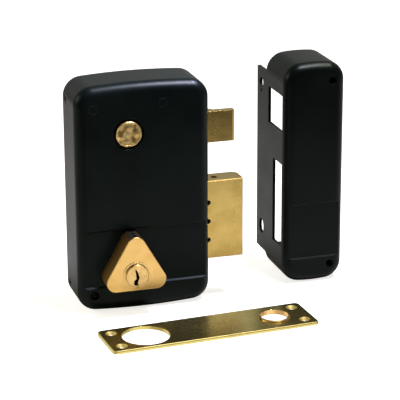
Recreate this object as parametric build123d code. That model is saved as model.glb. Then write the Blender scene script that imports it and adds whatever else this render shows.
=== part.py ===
from build123d import *
from math import acos, atan2, ceil, cos, degrees, pi, radians, sin, sqrt, tan
import os

# Rim box lock with its keeper and outside plate, in millimetres.
# +X runs across the lock towards the bolts, +Y into the door, +Z up.
# The origin is the centre of the four fixing holes, on the face that meets the door.
# A depth is measured from that face towards the room, so it grows along -Y.

# General fits
overrun = 1.0
running_gap = 0.05
sliding_gap = 0.3
seat_gap = 0.03
edge_break = 0.4

# Screws and springs: the cross in a head as shares of the head, and how round wire is drawn
cross_length_share = 0.5
cross_width_share = 0.2
coil_chord_count = 6
wire_side_count = 5

# Case
case_width = 82.0
case_height = 141.0
case_depth = 31.2
case_corner = 11.5
case_bow = 2.0
front_round = 6.2
cover_wall = 2.5
panel_sink = 0.9
panel_side = 1.6
panel_slope = 50
backset = 50.0

# Heights above the case's foot, as shares of the case's height
plug_height_share = 0.1915
bolt_low_share = 0.1865
bolt_height_share = 0.3504
latch_low_share = 0.7078
button_height_share = 0.783
panel_low_share = 0.1128
panel_high_share = 0.371

# Back plate
plate_gauge = 2.0
forend_gauge = 2.0
forend_margin = 18.0
fixing_side = 17.0
fixing_end = 9.0
fixing_bore = 4.5

# Cover fastening
side_screw_height = 12.5
side_screw_depth = 6.5
side_head = 5.6
side_head_sink = 0.25
side_thread = 3.0
side_screw_length = 5.0
side_tab_width = 12.0
side_tab_thick = 2.0
side_tab_depth = 12.0
front_screw_in = 9.3
front_screw_height = 11.6
front_recess = 5.4
front_head = 5.0
front_head_height = 2.0
front_head_sink = 1.2
front_thread = 3.0
front_screw_length = 9.0
pillar_across = 7.0

# Cylinder with its three-cornered nose
nose_stand = 12.7
nose_width = 36.6
nose_above = 23.5
nose_below = 9.8
nose_corner = 6.0
nose_edge = 0.3
nose_gap = 0.3
barrel_across = 17.0
web_across = 10.0
web_reach = 20.5
barrel_clear = 0.7
plug_across = 13.0
plug_head_base = 16.6
plug_head_face = 13.2
plug_head_height = 2.0
plug_head_flange = 0.35
plug_head_bevel = 0.45
plug_stem = 8.0
plug_shoulder = 1.6
clip_gauge = 0.8
clip_across = 11.6
clip_groove = 6.8
clip_pocket = 1.2
clip_pocket_across = 12.4
tongue_wide = 5.2
tongue_thick = 2.2
tongue_long = 3.6
foot_wide = 17.0
foot_below = 14.0
foot_above = 6.6
foot_screw_apart = 9.6
foot_screw_below = 10.4
foot_screw_thread = 3.0
foot_screw_head = 5.6
foot_screw_length = 9.0

# Keyway: places down the middle of the slot and half its width there, as shares of the plug's width
keyway_shares = (
    (-0.085, 0.33, 0.022),
    (-0.05, 0.2, 0.05),
    (0.0, 0.03, 0.07),
    (0.015, -0.14, 0.075),
    (-0.06, -0.21, 0.1),
    (-0.085, -0.38, 0.09),
    (0.0, -0.46, 0.1),
    (0.02, -0.62, 0.09),
)

# Pin stacks
pin_count = 5
pin_pitch = 4.5
first_pin_back = 3.5
pin_across = 2.9
chamber_across = 3.0
key_pin_low = 2.2
driver_long = 4.0
pin_spring_low = 11.0
pin_spring_high = 17.6
pin_spring_across = 2.5
pin_spring_wire = 0.4
pin_spring_turns = 4

# Gear train
gear_module = 1.0
pressure_angle = 25.0
tooth_height_share = 0.8
tooth_root_share = 1.05
tooth_slack = 0.08
key_teeth = 10
idler_teeth = 30
pinion_teeth = 10
key_turns = 2
gear_lift_share = 0.0385
idler_beside = 9.0
layer_gap = 0.5
gear_clear_share = 0.0545
idler_post = 5.0
post_rivet = 4.0
post_flange = 9.0
key_journal = 8.0
journal_back = 0.2

# Deadbolt
bolt_thickness_share = 0.4487
bolt_setback = 3.5
bolt_reach = 21.7
bolt_inside = 19.0
bolt_round = 4.5
bolt_edge = 0.5
bolt_window_gap = 0.4
saw_pin_across = 4.0
saw_pin_from_end = 16.4
saw_pin_sink = 1.2
rivet_across = 3.0
rivet_sink = 1.2
rivet_from_edge = 0.4
rivet_height_shares = (0.241, 0.482, 0.723)

# Deadbolt tail
tail_gauge_share = 0.1282
tail_left = 15.0
tail_right_out = 3.2
rack_body = 6.4
tail_above_slot = 8.0
tail_corner = 2.0
window_margin = 7.0
stud_across = 4.0
stud_shoulder = 8.0
stud_clear = 1.35

# Brake spring on the tail
brake_gauge = 0.8
brake_post_left = 11.5
brake_post_up = 4.4
brake_post_across = 4.0
brake_eye_wall = 1.0
brake_touch_right = 5.0
brake_end_right = 20.5
brake_end_up = 3.9
brake_gap = 0.1

# Latch
latch_height = 19.0
latch_reach = 16.2
latch_tip_thick = 5.0
latch_slab = 8.5
latch_heel_thick = 12.5
latch_tip_bevel = 1.3
ramp_step = 0.8
latch_edge = 0.5
latch_block_in = 22.8
latch_block_out = 8.0
latch_tail_gauge = 4.0
latch_tail_end = 5.6
latch_draw = 15.4
latch_window_high = 9.0
roller_across = 5.0
roller_pin_across = 2.4
roller_right = 5.25
guide_floor = 4.2
guide_in = 37.8
guide_out = 25.2
guide_cheek = 3.0
guide_high = 13.0
guide_screw_apart = 13.0
guide_screw_thread = 2.5

# Latch spring
latch_spring_across = 6.0
latch_spring_wire = 0.8
latch_spring_turns = 9
spigot_across = 3.6
spigot_long = 3.0
anchor_gauge = 1.5
anchor_wide = 10.0
anchor_in = 5.4

# Push button
button_across = 15.6
button_stand = 0.6
button_chamfer = 0.5
button_rim = 1.1
button_dish = 0.4
button_hole = 18.2
hole_chamfer = 0.5
blade_thick = 4.0
blade_land = 2.6
blade_lead = 0.4
wedge_ratio = 2.2
blade_spare = 0.25
bush_wall = 2.0
bush_clear = 0.4
bush_flange = 0.7
bush_flange_wide = 2.0

# Keeper
keeper_x = 92.4
keeper_back = 16.2
keeper_width = 38.9
keeper_depth = 36.3
keeper_gauge = 1.8
keeper_corner = 11.5
keeper_flange = 17.0
keeper_plate_low = 10.2
keeper_plate_top = 12.0
keeper_flange_corner = 0.6
keeper_plate_front = 6.0
keeper_window_front = 0.5
latch_window_under = 2.3
latch_window_over = 1.6
latch_window_back = 4.2
bolt_window_under = 3.3
bolt_window_over = 1.1
bolt_window_back = 13.5
flange_hole = 6.6
flange_pilot = 2.4
flange_pilot_below = 5.0
flange_slot = 7.8
flange_hole_back = 9.2
flange_slot_back = 7.8
flange_hole_top = 9.4
flange_hole_low = 14.0
flange_slot_long = 1.8
keeper_pillar = 8.0
keeper_bore = 3.6
keeper_head_bore = 5.0
keeper_head_depth = 1.6
keeper_pillar_in = 8.8
keeper_pillar_low = 11.4
tab_reach = 12.0
tab_high = 5.6
tab_screw_in = 7.5
tab_thread = 2.9
tab_screw_head = 5.0
tab_screw_length = 9.0
tab_pillar = 5.4

# Outside plate, lying in front of the lock
outer_long = 128.0
outer_wide = 33.8
outer_gauge = 2.0
outer_corner = 3.0
outer_edge = 0.9
outer_x = -36.9
outer_y = -95.4
outer_yaw = 3.4
outer_bore = 28.3
outer_bore_in = 24.9
collar_from_end = 22.2
collar_outside = 18.8
collar_bore = 17.0
collar_stand = 1.0
collar_lip = 0.45
outer_screw_in = 6.9
outer_screw_bore = 4.2
outer_screw_head = 6.8

# Places worked out from the sizes above
foot = -case_height / 2
half_width = case_width / 2
plug_x = half_width - backset
plug_z = foot + case_height * plug_height_share
bolt_low = case_height * bolt_low_share
bolt_height = case_height * bolt_height_share
latch_low = case_height * latch_low_share
bolt_thickness = case_depth * bolt_thickness_share
cover_inside = case_depth - cover_wall
nose_front = case_depth + nose_stand
bolt_front = case_depth - bolt_setback
bolt_rear = bolt_front - bolt_thickness
tail_rear = bolt_rear - case_depth * tail_gauge_share
gear_rear = plate_gauge + case_depth * gear_lift_share
gear_front = tail_rear - case_depth * gear_clear_share
pinion_front = bolt_rear - layer_gap
barrel_low = bolt_rear + barrel_clear
centre_distance = gear_module * (key_teeth + idler_teeth) / 2
idler_x = plug_x + idler_beside
idler_z = plug_z + sqrt(centre_distance ** 2 - (idler_x - plug_x) ** 2)
stud_x = plug_x
brake_post_x = plug_x - brake_post_left
brake_touch_x = plug_x + brake_touch_right
brake_end_x = plug_x + brake_end_right
roller_x = plug_x + roller_right
latch_block_left = half_width - latch_block_in
latch_block_right = half_width - latch_block_out
guide_left = half_width - guide_in
guide_right = half_width - guide_out
anchor_x = -half_width + anchor_in
mesh_angle = degrees(atan2(idler_z - plug_z, idler_x - plug_x))
pinion_radius = gear_module * pinion_teeth / 2
idler_tip = gear_module * (idler_teeth / 2 + tooth_height_share)
stud_reach = idler_tip + stud_shoulder / 2 + stud_clear
slot_z = idler_z + sqrt(stud_reach ** 2 - (stud_x - idler_x) ** 2)
tail_high = slot_z - foot + tail_above_slot
tail_low = idler_z - pinion_radius - rack_body - foot
bolt_throw = 2 * pi * key_turns * key_teeth / idler_teeth * pinion_radius
latch_front = bolt_front
latch_rear = bolt_rear
latch_mid = foot + latch_low + latch_height / 2
latch_tail_rear = plate_gauge + guide_floor + sliding_gap
roller_depth = latch_tail_rear + latch_tail_gauge / 2
button_z = foot + case_height * button_height_share
button_travel = latch_draw / wedge_ratio
fixing_across = case_width - 2 * fixing_side
fixing_up = case_height - 2 * fixing_end
fixing_places = [(across * fixing_across / 2, up * fixing_up / 2) for across in (-1, 1) for up in (-1, 1)]
plate_inset = cover_wall + sliding_gap
tab_x = -half_width + plate_inset
forend_x = half_width - plate_inset
front_screw_x = -half_width + front_screw_in
front_screw_z = foot + front_screw_height
side_screw_z = [foot + side_screw_height, -foot - side_screw_height]
blade_top = roller_depth + roller_across / 2 + button_travel + blade_spare
rivet_places = [(idler_x, idler_z, post_rivet), (stud_x, slot_z, post_rivet),
                (brake_post_x, foot + tail_high + brake_post_up, post_rivet)]
guide_screw_places = [((guide_left + guide_right) / 2, latch_mid + side * guide_screw_apart / 2)
                      for side in (-1, 1)]
rear_screw_places = [(plug_x + side * foot_screw_apart / 2, plug_z - foot_screw_below, foot_screw_thread,
                      foot_screw_head) for side in (-1, 1)]
rivet_heights = [bolt_low + bolt_height * share for share in rivet_height_shares]
rear_screw_places += [(x, z, guide_screw_thread, 2 * guide_screw_thread - edge_break)
                      for x, z in guide_screw_places]


def slab(sketch, rear, front):
    """A front view (x, z) given thickness between two depths."""
    return extrude(Plane.XZ.offset(rear) * sketch, amount=front - rear)


def disc(across, rear, front, x=0, z=0):
    """A round bar that points into the room."""
    return slab(Pos(x, z) * Circle(across / 2), rear, front)


def bar(left, right, rear, front, low, high):
    """A square block between two x places, two depths and two heights."""
    view = Pos((left + right) / 2, (low + high) / 2) * Rectangle(right - left, high - low)
    return slab(view, rear, front)


def rod_up(across, x, depth, low, high):
    """A round bar that stands upright."""
    return Pos(x, -depth, (low + high) / 2) * Cylinder(across / 2, high - low)


def rod_across(across, left, right, depth, z):
    """A round bar that runs along X."""
    return Pos((left + right) / 2, -depth, z) * Rot(0, 90, 0) * Cylinder(across / 2, right - left)


def turned(outline, x, z, depth=0):
    """A turned piece from points (radius, depth), about an axis that points into the room."""
    profile = make_face(Polyline([(radius, height) for radius, height in outline], close=True))
    solid = revolve(Plane.XZ * profile, Axis.Z)
    return Pos(x, -depth, z) * Rot(90, 0, 0) * solid


def bowed(width, height, corner, bow):
    """Front view of a moulded cover: straight sides, top and bottom bowed outwards."""
    side = width / 2
    shoulder = height / 2 - bow
    top = ThreePointArc((-side, shoulder), (0, height / 2), (side, shoulder))
    bottom = ThreePointArc((side, -shoulder), (0, -height / 2), (-side, -shoulder))
    walls = Line((side, shoulder), (side, -shoulder)) + Line((-side, -shoulder), (-side, shoulder))
    face = make_face(top + bottom + walls)
    return fillet(face.vertices(), radius=corner)


def moulded_shell(width, height, depth, corner):
    """An open-backed box moulding with a rolled front edge and an even wall."""
    outside = slab(bowed(width, height, corner, case_bow), 0, depth)
    outside = fillet(outside.faces().sort_by(Axis.Y)[0].edges(), radius=front_round)
    hollow_view = bowed(width - 2 * cover_wall, height - 2 * cover_wall, corner - cover_wall, case_bow)
    hollow = slab(hollow_view, -overrun, depth - cover_wall)
    hollow = fillet(hollow.faces().sort_by(Axis.Y)[0].edges(), radius=front_round - cover_wall)
    return outside - hollow


def gear_view(teeth, turn):
    """Gear outline with a tooth centred at the given angle, each involute flank as two short chords."""
    pitch = gear_module * teeth / 2
    base = pitch * cos(radians(pressure_angle))
    tip = pitch + tooth_height_share * gear_module
    root = pitch - tooth_root_share * gear_module
    start = max(base, root)

    def involute(radius):
        lean = acos(min(base / radius, 1))
        return tan(lean) - lean

    thick = pi / (2 * teeth) - tooth_slack / (2 * pitch)
    at_pitch = involute(pitch)
    steps = (0, 0.5, 1)
    flank = [start + (tip - start) * step for step in steps]
    half = [thick + at_pitch - involute(radius) for radius in flank]

    def spot(radius, angle):
        return (radius * cos(angle), radius * sin(angle))

    outline = []
    for tooth in range(teeth):
        middle = radians(turn) + 2 * pi * tooth / teeth
        if root < base:
            outline.append(spot(root, middle - half[0]))
        outline += [spot(radius, middle - spread) for radius, spread in zip(flank, half)]
        outline += [spot(radius, middle + spread) for radius, spread in zip(reversed(flank), reversed(half))]
        if root < base:
            outline.append(spot(root, middle + half[0]))
    return make_face(Polyline(outline, close=True))


def rack_view(low, pitch_line, first, last):
    """Straight rack with teeth pointing up, a gap centred at x = 0."""
    pitch = pi * gear_module
    slope = tan(radians(pressure_angle))
    tip = pitch_line + tooth_height_share * gear_module
    root = pitch_line - tooth_root_share * gear_module
    half = pitch / 4 - tooth_slack / 2
    at_tip = half - tooth_height_share * gear_module * slope
    at_root = half + tooth_root_share * gear_module * slope
    points = [(first, low), (first, root)]
    count = ceil((last - first) / pitch)
    for number in range(-count, count + 1):
        middle = (number + 0.5) * pitch
        if first < middle - at_root and middle + at_root < last:
            points.append((middle - at_root, root))
            points.append((middle - at_tip, tip))
            points.append((middle + at_tip, tip))
            points.append((middle + at_root, root))
    points.append((last, root))
    points.append((last, low))
    return make_face(Polyline(points, close=True))


def coil(mean_radius, wire, length, turns):
    """A round-wire compression spring along Z from z = 0, wound from short straight chords of a helix."""
    rise = length - wire
    steps = turns * coil_chord_count
    spots = []
    for step in range(steps + 1):
        angle = 2 * pi * step / coil_chord_count
        spots.append((mean_radius * cos(angle), mean_radius * sin(angle), wire / 2 + rise * step / steps))
    path = Polyline(spots)
    start = Plane(origin=path @ 0, z_dir=path % 0)
    return sweep(start * RegularPolygon(wire / 2, wire_side_count), path=path, transition=Transition.RIGHT)


def cross_recess(across, rear, front):
    """The cross cut into a screw's head."""
    arm = across * cross_width_share
    long = across * cross_length_share
    return slab(Rectangle(long, arm) + Rectangle(arm, long), rear, front)


def pan_screw(thread, head, head_height, length):
    """A pan-head screw: seat at depth 0, head towards the room."""
    body = disc(head, 0, head_height)
    body = chamfer(body.edges().sort_by(Axis.Y)[0], length=head_height / 2)
    return body + disc(thread, -length, 0) - cross_recess(head, head_height / 2, head_height + overrun)


def flat_screw(thread, head, length):
    """A countersunk screw: the face of its head at depth 0, its shank away from the room."""
    sink = (head - thread) / 2
    cone = turned([(0, 0), (head / 2, 0), (thread / 2, -sink), (thread / 2, -length), (0, -length)], 0, 0)
    return cone - cross_recess(head, -sink / 2, overrun)


def save(name, shape):
    """Write one node, as one solid or as a group of separate solids."""
    solids = shape.solids()
    part = solids[0] if len(solids) == 1 else Compound(children=list(solids))
    part.label = name
    export_step(part, f"parts/{name}.step")


# Bolt and latch openings through the edge of the lock
def bolt_openings(left, right):
    """The room that the deadbolt, its tail and the latch need to pass an edge wall."""
    bolt = bar(left, right, bolt_rear - bolt_window_gap, bolt_front + bolt_window_gap,
               foot + bolt_low - bolt_window_gap, foot + bolt_low + bolt_height + bolt_window_gap)
    tail = bar(left, right, tail_rear - bolt_window_gap, bolt_rear,
               foot + tail_low - bolt_window_gap, foot + tail_high + bolt_window_gap)
    latch = bar(left, right, latch_rear - bolt_window_gap, latch_front + bolt_window_gap,
                foot + latch_low - bolt_window_gap, foot + latch_low + latch_height + bolt_window_gap)
    return bolt + tail + latch


# Three-cornered nose seen from the front
def nose_view(grow=0):
    """The nose outline: three corners of one radius with straight flanks between them."""
    radius = nose_corner + grow
    top = nose_above - nose_corner
    low = nose_corner - nose_below
    side = nose_width / 2 - nose_corner
    corners = [(-side, low), (side, low), (0, top)]
    rounds = Sketch() + [Pos(x, z) * Circle(radius) for x, z in corners]
    return Pos(plug_x, plug_z) * make_hull(rounds.edges())


def panel_cut(left, right, front):
    """The shallow panel with sloping edges, sunk across a cover's front until it runs out in the rolled edge."""
    low = foot + case_height * panel_low_share
    high = foot + case_height * panel_high_share
    view = Pos((left + right) / 2, (low + high) / 2) * Rectangle(right - left, high - low)
    return extrude(Plane.XZ.offset(front) * view, amount=-panel_sink, taper=panel_slope)


def build_cover():
    """The black moulding: every wall but the back, with its openings and screw seats."""
    shell = moulded_shell(case_width, case_height, case_depth, case_corner)
    shell += disc(front_recess + cover_wall, case_depth - front_screw_length, cover_inside + cover_wall / 2,
                  front_screw_x, front_screw_z)
    shell -= panel_cut(-half_width + panel_side, half_width - panel_side, case_depth)
    shell -= slab(nose_view(nose_gap), cover_inside - overrun, case_depth + overrun)
    rim = button_hole / 2
    opening = [(0, -cover_wall - overrun), (rim, -cover_wall - overrun), (rim, -hole_chamfer),
               (rim + hole_chamfer + overrun, overrun), (0, overrun)]
    shell -= turned(opening, plug_x, button_z, case_depth)
    shell -= bolt_openings(half_width - front_round - overrun, half_width + overrun)
    for height in side_screw_z:
        sink = (side_head - side_thread) / 2 + side_head_sink
        seat = [(0, overrun), (side_head / 2, overrun), (side_head / 2, -side_head_sink),
                (side_thread / 2 + seat_gap, -sink), (side_thread / 2 + seat_gap, -cover_wall - overrun),
                (0, -cover_wall - overrun)]
        shell -= Pos(-half_width, -side_screw_depth, height) * Rot(0, 0, -90) * turned(seat, 0, 0)
    head_seat = case_depth - front_head_sink - front_head_height
    shell -= disc(front_recess, head_seat, case_depth + overrun, front_screw_x, front_screw_z)
    shell -= disc(front_thread + sliding_gap, 0, case_depth, front_screw_x, front_screw_z)
    return shell


def build_back_plate():
    """The steel plate that is screwed to the door, with its bent edge, lugs and posts' holes."""
    view = bowed(case_width - 2 * plate_inset, case_height - 2 * plate_inset,
                 case_corner - plate_inset, case_bow)
    plate = slab(view, 0, plate_gauge)
    reach = case_height / 2 - forend_margin
    forend_front = case_depth - front_round
    plate += bar(forend_x - forend_gauge, forend_x, 0, forend_front, -reach, reach)
    plate -= bolt_openings(forend_x - forend_gauge - overrun, forend_x + overrun)
    for height in side_screw_z:
        plate += bar(tab_x, tab_x + side_tab_thick, 0, side_tab_depth,
                     height - side_tab_width / 2, height + side_tab_width / 2) & slab(view, 0, side_tab_depth)
        plate -= rod_across(side_thread + 2 * seat_gap, tab_x - overrun, tab_x + side_tab_thick + overrun,
                            side_screw_depth, height)
    lug_high = roller_depth + latch_spring_across / 2 + anchor_gauge
    plate += bar(anchor_x - anchor_gauge, anchor_x, 0, lug_high,
                 latch_mid - anchor_wide / 2, latch_mid + anchor_wide / 2)
    plate += rod_across(spigot_across, anchor_x, anchor_x + spigot_long, roller_depth, latch_mid)
    plate += disc(pillar_across, 0, case_depth - front_screw_length - sliding_gap,
                  front_screw_x, front_screw_z)
    plate -= disc(front_thread + 2 * seat_gap, plate_gauge, case_depth, front_screw_x, front_screw_z)
    for x, z in fixing_places:
        plate -= disc(fixing_bore, -overrun, plate_gauge + overrun, x, z)
    plate -= disc(key_journal, -overrun, plate_gauge + overrun, plug_x, plug_z)
    for x, z, across in rivet_places:
        plate -= disc(across + 2 * seat_gap, -overrun, plate_gauge + overrun, x, z)
    for x, z, thread, head in rear_screw_places:
        plate -= rear_seat(x, z, thread, head)
    return plate


def rear_seat(x, z, thread, head):
    """The hole and countersink of a screw that comes through the back plate from the door side."""
    sink = (head - thread) / 2
    hole = thread / 2 + seat_gap
    return turned([(0, -overrun), (head / 2 + seat_gap, -overrun), (head / 2 + seat_gap, 0), (hole, sink),
                   (hole, plate_gauge + overrun), (0, plate_gauge + overrun)], x, z)


def rear_screw(x, z, thread, head, length):
    """A countersunk screw that comes through the back plate from the door side."""
    return Pos(x, 0, z) * Rot(0, 0, 180) * flat_screw(thread, head, length)


def build_side_screws():
    """The two countersunk screws that hold the cover to the back plate's left lugs."""
    screws = Part()
    for height in side_screw_z:
        screw = flat_screw(side_thread, side_head, side_screw_length)
        screws += Pos(-half_width + side_head_sink, -side_screw_depth, height) * Rot(0, 0, -90) * screw
    return screws


def build_front_screw():
    """The cover screw in its round recess at the bottom left of the front."""
    seat = case_depth - front_head_sink - front_head_height
    screw = pan_screw(front_thread, front_head, front_head_height, front_screw_length)
    return Pos(front_screw_x, -seat, front_screw_z) * screw


def barrel_view():
    """The part of the cylinder inside the case, from the front: a round barrel with its pin web on top."""
    web = Pos(0, (web_reach - web_across / 2) / 2) * Rectangle(web_across, web_reach - web_across / 2)
    top = Pos(0, web_reach - web_across / 2) * Circle(web_across / 2)
    return Pos(plug_x, plug_z) * (Circle(barrel_across / 2) + web + top)


def cylinder_blank():
    """The cylinder's casting before it is bored."""
    nose = slab(nose_view(), cover_inside, nose_front)
    nose = chamfer(nose.faces().sort_by(Axis.Y)[0].edges(), length=nose_edge)
    barrel = slab(barrel_view(), barrel_low, cover_inside)
    step = bar(plug_x - foot_wide / 2, plug_x + foot_wide / 2, plate_gauge, cover_inside,
               plug_z - foot_below, plug_z - foot_above)
    return nose + barrel + step


def pin_depths():
    """How far each pin stack stands in front of the door."""
    return [nose_front - first_pin_back - number * pin_pitch for number in range(pin_count)]


def build_cylinder_body():
    """The brass casting with the plug's bore, the pin chambers and the foot on the back plate."""
    body = cylinder_blank()
    shoulder = barrel_low + clip_pocket + plug_shoulder
    bore = plug_across / 2 + running_gap
    neck = plug_stem / 2 + running_gap
    body -= turned([(0, barrel_low - overrun), (clip_pocket_across / 2, barrel_low - overrun),
                    (clip_pocket_across / 2, barrel_low + clip_pocket), (neck, barrel_low + clip_pocket),
                    (neck, shoulder), (bore, shoulder), (bore, nose_front + overrun),
                    (0, nose_front + overrun)], plug_x, plug_z)
    for depth in pin_depths():
        body -= rod_up(chamber_across, plug_x, depth, plug_z, plug_z + nose_above + overrun)
    for side in (-1, 1):
        body -= disc(foot_screw_thread + 2 * seat_gap, plate_gauge - overrun, foot_screw_length + overrun,
                     plug_x + side * foot_screw_apart / 2, plug_z - foot_screw_below)
    return body


def keyway_view():
    """The crooked key slot as it shows in the plug's face."""
    left = [((x - half) * plug_across, z * plug_across) for x, z, half in keyway_shares]
    right = [((x + half) * plug_across, z * plug_across) for x, z, half in keyway_shares]
    return Pos(plug_x, plug_z) * make_face(Polyline(left + right[::-1], close=True))


def build_plug():
    """The turning plug: coned head, barrel with its pin holes, stem and the tongue that drives the gear."""
    shoulder = barrel_low + clip_pocket + plug_shoulder + running_gap
    clip_front = barrel_low + clip_pocket - running_gap
    clip_rear = clip_front - clip_gauge
    stem = plug_stem / 2
    groove = clip_groove / 2
    plug = turned([(0, gear_front), (stem, gear_front), (stem, clip_rear), (groove, clip_rear),
                   (groove, clip_front), (stem, clip_front), (stem, shoulder), (plug_across / 2, shoulder),
                   (plug_across / 2, nose_front + running_gap),
                   (plug_head_base / 2, nose_front + running_gap),
                   (plug_head_base / 2, nose_front + plug_head_flange),
                   (plug_head_face / 2 + plug_head_bevel, nose_front + plug_head_flange),
                   (plug_head_face / 2 + plug_head_bevel, nose_front + plug_head_height - plug_head_bevel),
                   (plug_head_face / 2, nose_front + plug_head_height),
                   (0, nose_front + plug_head_height)], plug_x, plug_z)
    plug += bar(plug_x - tongue_thick / 2, plug_x + tongue_thick / 2, gear_front - tongue_long, gear_front,
                plug_z - tongue_wide / 2, plug_z + tongue_wide / 2)
    plug -= slab(keyway_view(), shoulder + plug_shoulder, nose_front + plug_head_height + overrun)
    for depth in pin_depths():
        plug -= rod_up(chamber_across, plug_x, depth, plug_z + key_pin_low - seat_gap, plug_z + plug_across)
    return plug


def build_plug_clip():
    """The ring that keeps the plug from coming out."""
    front = barrel_low + clip_pocket - running_gap
    ring = disc(clip_across, front - clip_gauge, front, plug_x, plug_z)
    return ring - disc(clip_groove + 2 * seat_gap, front - 2 * clip_gauge, front + overrun, plug_x, plug_z)


def build_key_pins():
    """The lower pins, which turn with the plug."""
    limit = disc(plug_across - 2 * seat_gap, 0, nose_front, plug_x, plug_z)
    pins = Part()
    for depth in pin_depths():
        pins += rod_up(pin_across, plug_x, depth, plug_z + key_pin_low, plug_z + plug_across) & limit
    return pins


def build_driver_pins():
    """The upper pins, at rest just above the plug."""
    low = plug_z + plug_across / 2 + 2 * running_gap
    pins = Part()
    for depth in pin_depths():
        pins += rod_up(pin_across, plug_x, depth, low, low + driver_long)
    return pins


def build_pin_springs():
    """The small springs that press the upper pins down."""
    springs = Part()
    length = pin_spring_high - pin_spring_low
    mean = (pin_spring_across - pin_spring_wire) / 2
    for depth in pin_depths():
        springs += Pos(plug_x, -depth, plug_z + pin_spring_low) * coil(mean, pin_spring_wire, length,
                                                                      pin_spring_turns)
    return springs


def build_chamber_plugs():
    """The brass plugs that close the pin chambers, flush with the casting."""
    blank = cylinder_blank()
    plugs = Part()
    for depth in pin_depths():
        rod = rod_up(chamber_across - 2 * seat_gap, plug_x, depth, plug_z + pin_spring_high + running_gap,
                     plug_z + nose_above + overrun)
        plugs += rod & blank
    return plugs


def build_foot_screws():
    """The two screws that hold the cylinder's foot to the back plate."""
    screws = Part()
    for side in (-1, 1):
        screws += rear_screw(plug_x + side * foot_screw_apart / 2, plug_z - foot_screw_below,
                             foot_screw_thread, foot_screw_head, foot_screw_length)
    return screws


def build_key_gear():
    """The ten-tooth gear on the plug's tongue, its journal in the back plate and the tail bar's slot."""
    gear = slab(Pos(plug_x, plug_z) * gear_view(key_teeth, mesh_angle), gear_rear, gear_front)
    gear += disc(key_journal - 2 * running_gap, journal_back, gear_rear, plug_x, plug_z)
    slot_wide = tongue_wide / 2 + running_gap
    slot_thick = tongue_thick / 2 + running_gap
    gear -= bar(plug_x - slot_thick, plug_x + slot_thick, 0, gear_front + overrun,
                plug_z - slot_wide, plug_z + slot_wide)
    return gear


def build_idler_gear():
    """The large gear with the pinion that drives the bolt, in one piece."""
    turn = mesh_angle + 180 + 180 / idler_teeth
    gear = slab(Pos(idler_x, idler_z) * gear_view(idler_teeth, turn), gear_rear, gear_front)
    gear += slab(Pos(idler_x, idler_z) * gear_view(pinion_teeth, -90), gear_front, pinion_front)
    return gear - disc(idler_post + 2 * running_gap, 0, case_depth, idler_x, idler_z)


def build_idler_post():
    """The riveted post that carries the large gear."""
    flange_front = gear_rear - 2 * running_gap
    return turned([(0, 0), (post_rivet / 2, 0), (post_rivet / 2, plate_gauge), (post_flange / 2, plate_gauge),
                   (post_flange / 2, flange_front), (idler_post / 2, flange_front),
                   (idler_post / 2, pinion_front), (0, pinion_front)], idler_x, idler_z)


def build_guide_stud():
    """The riveted stud that the deadbolt's tail slides along."""
    shoulder_front = tail_rear - sliding_gap
    return turned([(0, 0), (post_rivet / 2, 0), (post_rivet / 2, plate_gauge),
                   (stud_shoulder / 2, plate_gauge), (stud_shoulder / 2, shoulder_front),
                   (stud_across / 2, shoulder_front),
                   (stud_across / 2, pinion_front), (0, pinion_front)], stud_x, slot_z)


def build_deadbolt():
    """The solid brass bolt with one rounded rear corner, its pin hole and its rivet holes."""
    end = half_width + bolt_reach
    low = foot + bolt_low
    bolt = bar(half_width - bolt_inside, end, bolt_rear, bolt_front, low, low + bolt_height)
    corner = bolt.edges().filter_by(Axis.Z).sort_by(Axis.X)[-2:].sort_by(Axis.Y)[-1]
    bolt = fillet(corner, radius=bolt_round)
    bolt = chamfer(bolt.faces().sort_by(Axis.Y)[0].edges(), length=bolt_edge)
    bolt -= rod_up(saw_pin_across + 2 * seat_gap, end - saw_pin_from_end, bolt_rear + bolt_thickness / 2,
                   low + saw_pin_sink, low + bolt_height + overrun)
    for height in rivet_heights:
        bolt -= disc(rivet_across + 2 * seat_gap, bolt_rear - overrun, bolt_front + overrun,
                     half_width - rivet_from_edge, foot + height)
    return bolt


def build_saw_pin():
    """The hard steel pin that stands loose in the deadbolt against sawing."""
    low = foot + bolt_low
    return rod_up(saw_pin_across, half_width + bolt_reach - saw_pin_from_end, bolt_rear + bolt_thickness / 2,
                  low + saw_pin_sink, low + bolt_height - saw_pin_sink)


def build_bolt_rivets():
    """The three rivets that join the deadbolt to its tail."""
    rivets = Part()
    for height in rivet_heights:
        rivets += disc(rivet_across, tail_rear + rivet_sink, bolt_front - rivet_sink,
                       half_width - rivet_from_edge, foot + height)
    return rivets


def build_bolt_tail():
    """The steel tail plate: rack teeth in its window, a guide slot above, three rivet holes."""
    right = half_width + tail_right_out
    low = foot + tail_low
    high = foot + tail_high
    left = idler_x - tail_left
    outline = Pos((right + left) / 2, (low + high) / 2) * Rectangle(right - left, high - low)
    outline = fillet(outline.vertices(), radius=tail_corner)
    pitch_line = idler_z - pinion_radius
    root = pitch_line - tooth_root_share * gear_module
    window_high = idler_z + pinion_radius + (tooth_height_share + layer_gap) * gear_module
    first = idler_x - window_margin
    last = idler_x + bolt_throw + window_margin
    window = Pos((first + last) / 2, (root + window_high) / 2) * Rectangle(last - first, window_high - root)
    view = outline - window + Pos(idler_x, 0) * rack_view(low + tail_corner, pitch_line, first, last)
    slot_high = stud_across + 4 * running_gap
    slot = Pos(stud_x + bolt_throw / 2, slot_z) * SlotCenterToCenter(bolt_throw, slot_high)
    view -= slot
    for height in rivet_heights:
        view -= Pos(half_width - rivet_from_edge, foot + height) * Circle(rivet_across / 2 + seat_gap)
    return slab(view, tail_rear, bolt_rear)


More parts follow.
